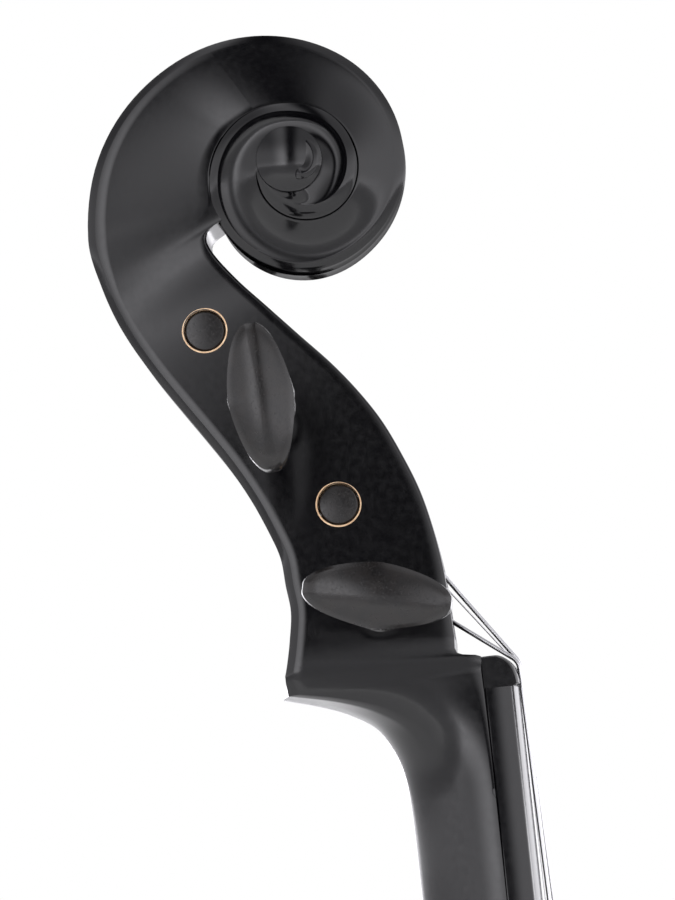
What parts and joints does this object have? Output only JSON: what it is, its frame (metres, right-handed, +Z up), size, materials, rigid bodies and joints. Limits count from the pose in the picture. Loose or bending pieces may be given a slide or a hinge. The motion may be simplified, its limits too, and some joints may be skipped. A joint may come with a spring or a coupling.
{
  "type": "electric violin",
  "caption": "Full-size electric violin: lacquered skeleton body with open bouts, carved scroll and pegbox, friction pegs, fine tuners, clamped chinrest and built-in electronics.",
  "frame": {"origin": "centreline of the neck at the nut, on the plane that the fingerboard is glued to, where a hanger's fork holds the neck under the pegbox", "axes": "+Z up the body towards the scroll, -Y the way the strings face, +X the treble side"},
  "size_m": [0.1882, 0.1061, 0.6137],
  "materials": {
    "lacquer": "high-gloss black lacquer",
    "ebony": "oiled and polished ebony",
    "maple": "bare maple",
    "string_steel": "flat wound metal",
    "nickel": "polished nickel",
    "brass": "turned brass",
    "composite": "satin black composite",
    "plastic": "fine-grained black plastic",
    "cork": "bare cork",
    "gut": "black braided cord",
    "circuit": "green solder mask",
    "cell": "plain printed can"
  },
  "bodies": {
    "violin": {"neck_and_scroll": "lacquer", "fingerboard": "lacquer", "nut": "lacquer", "body": "lacquer", "string_g": "string_steel", "string_d": "string_steel", "string_a": "string_steel", "string_e": "string_steel", "bridge": "maple", "pickup": "plastic", "tailpiece": "composite", "tuner_axle": "nickel", "tailgut": "gut", "saddle": "ebony", "end_button": "ebony", "chinrest": "composite", "chinrest_cork": "cork", "chinrest_bracket": "nickel", "electronics_cover": "plastic", "cover_screw_1": "nickel", "cover_screw_2": "nickel", "cover_screw_3": "nickel", "cover_screw_4": "nickel", "preamp_board": "circuit", "volume_pot": "nickel", "tone_pot": "nickel", "output_jack": "nickel", "jack_nut": "nickel", "battery_box": "plastic", "battery": "cell"},
    "g_peg": {"peg_g": "ebony", "winding_g": "string_steel"},
    "d_peg": {"peg_d": "ebony", "winding_d": "string_steel"},
    "a_peg": {"peg_a": "ebony", "winding_a": "string_steel"},
    "e_peg": {"peg_e": "ebony", "winding_e": "string_steel"},
    "g_lever": {"tuner_lever_g": "nickel"},
    "d_lever": {"tuner_lever_d": "nickel"},
    "a_lever": {"tuner_lever_a": "nickel"},
    "e_lever": {"tuner_lever_e": "nickel"},
    "g_screw": {"tuner_screw_g": "nickel"},
    "d_screw": {"tuner_screw_d": "nickel"},
    "a_screw": {"tuner_screw_a": "nickel"},
    "e_screw": {"tuner_screw_e": "nickel"},
    "g_head": {"tuner_head_g": "nickel"},
    "d_head": {"tuner_head_d": "nickel"},
    "a_head": {"tuner_head_a": "nickel"},
    "e_head": {"tuner_head_e": "nickel"},
    "volume": {"volume_shaft": "brass", "volume_knob": "plastic"},
    "tone": {"tone_shaft": "brass", "tone_knob": "plastic"},
    "door": {"battery_door": "plastic"},
    "foot": {"clamp_foot": "nickel", "clamp_foot_cork": "cork"},
    "barrel_1": {"clamp_barrel_1": "nickel"},
    "barrel_2": {"clamp_barrel_2": "nickel"}
  },
  "joints": [
    {"name": "g_peg_turn", "type": "hinge", "parent": "violin", "child": "g_peg", "pos_m": [0, 0.01665, 0.01438], "axis": [1, 0, 0], "continuous": true},
    {"name": "d_peg_turn", "type": "hinge", "parent": "violin", "child": "d_peg", "pos_m": [0, 0.03486, 0.04829], "axis": [1, 0, 0], "continuous": true},
    {"name": "a_peg_turn", "type": "hinge", "parent": "violin", "child": "a_peg", "pos_m": [0, 0.04595, 0.06355], "axis": [1, 0, 0], "continuous": true},
    {"name": "e_peg_turn", "type": "hinge", "parent": "violin", "child": "e_peg", "pos_m": [0, 0.02382, 0.03252], "axis": [1, 0, 0], "continuous": true},
    {"name": "g_screw_travel", "type": "slide", "parent": "violin", "child": "g_screw", "axis": [0, -0.9901, -0.1401], "range_m": [0, 0.003]},
    {"name": "d_screw_travel", "type": "slide", "parent": "violin", "child": "d_screw", "axis": [0, -0.9901, -0.1401], "range_m": [0, 0.003]},
    {"name": "a_screw_travel", "type": "slide", "parent": "violin", "child": "a_screw", "axis": [0, -0.9901, -0.1401], "range_m": [0, 0.003]},
    {"name": "e_screw_travel", "type": "slide", "parent": "violin", "child": "e_screw", "axis": [0, -0.9901, -0.1401], "range_m": [0, 0.003]},
    {"name": "g_head_turn", "type": "hinge", "parent": "g_screw", "child": "g_head", "pos_m": [-0.0144, -0.02529, -0.41033], "axis": [0, -0.9901, -0.1401], "range_deg": [0, 2160]},
    {"name": "d_head_turn", "type": "hinge", "parent": "d_screw", "child": "d_head", "pos_m": [-0.0048, -0.02529, -0.41033], "axis": [0, -0.9901, -0.1401], "range_deg": [0, 2160]},
    {"name": "a_head_turn", "type": "hinge", "parent": "a_screw", "child": "a_head", "pos_m": [0.0048, -0.02529, -0.41033], "axis": [0, -0.9901, -0.1401], "range_deg": [0, 2160]},
    {"name": "e_head_turn", "type": "hinge", "parent": "e_screw", "child": "e_head", "pos_m": [0.0144, -0.02529, -0.41033], "axis": [0, -0.9901, -0.1401], "range_deg": [0, 2160]},
    {"name": "g_lever_tilt", "type": "hinge", "parent": "violin", "child": "g_lever", "pos_m": [-0.0144, -0.02055, -0.38633], "axis": [-1, 0, 0], "range_deg": [0, 7.45]},
    {"name": "d_lever_tilt", "type": "hinge", "parent": "violin", "child": "d_lever", "pos_m": [-0.0048, -0.02055, -0.38633], "axis": [-1, 0, 0], "range_deg": [0, 7.45]},
    {"name": "a_lever_tilt", "type": "hinge", "parent": "violin", "child": "a_lever", "pos_m": [0.0048, -0.02055, -0.38633], "axis": [-1, 0, 0], "range_deg": [0, 7.45]},
    {"name": "e_lever_tilt", "type": "hinge", "parent": "violin", "child": "e_lever", "pos_m": [0.0144, -0.02055, -0.38633], "axis": [-1, 0, 0], "range_deg": [0, 7.45]},
    {"name": "volume_turn", "type": "hinge", "parent": "violin", "child": "volume", "pos_m": [0.05, 0.00801, -0.35], "axis": [1, 0, 0], "range_deg": [-150, 150]},
    {"name": "tone_turn", "type": "hinge", "parent": "violin", "child": "tone", "pos_m": [0.05, 0.00801, -0.378], "axis": [1, 0, 0], "range_deg": [-150, 150]},
    {"name": "door_open", "type": "hinge", "parent": "violin", "child": "door", "pos_m": [0.0036, 0.02341, -0.432], "axis": [0, 0, -1], "range_deg": [0, 95]},
    {"name": "foot_travel", "type": "slide", "parent": "violin", "child": "foot", "axis": [0, 1, 0], "range_m": [0, 0.004]},
    {"name": "barrel_1_turn", "type": "hinge", "parent": "foot", "child": "barrel_1", "pos_m": [-0.038, 0.009, -0.4916], "axis": [0, 1, 0], "range_deg": [0, 1440]},
    {"name": "barrel_2_turn", "type": "hinge", "parent": "foot", "child": "barrel_2", "pos_m": [-0.021, 0.009, -0.4916], "axis": [0, 1, 0], "range_deg": [0, 1440]}
  ],
  "couplings": [
    {"joint": "g_head_turn", "follows": "g_screw_travel", "rad_per_m": 12566},
    {"joint": "d_head_turn", "follows": "d_screw_travel", "rad_per_m": 12566},
    {"joint": "a_head_turn", "follows": "a_screw_travel", "rad_per_m": 12566},
    {"joint": "e_head_turn", "follows": "e_screw_travel", "rad_per_m": 12566},
    {"joint": "g_lever_tilt", "follows": "g_screw_travel", "rad_per_m": 43.3},
    {"joint": "d_lever_tilt", "follows": "d_screw_travel", "rad_per_m": 43.3},
    {"joint": "a_lever_tilt", "follows": "a_screw_travel", "rad_per_m": 43.3},
    {"joint": "e_lever_tilt", "follows": "e_screw_travel", "rad_per_m": 43.3},
    {"joint": "barrel_1_turn", "follows": "foot_travel", "rad_per_m": 6283.2},
    {"joint": "barrel_2_turn", "follows": "foot_travel", "rad_per_m": 6283.2}
  ]
}
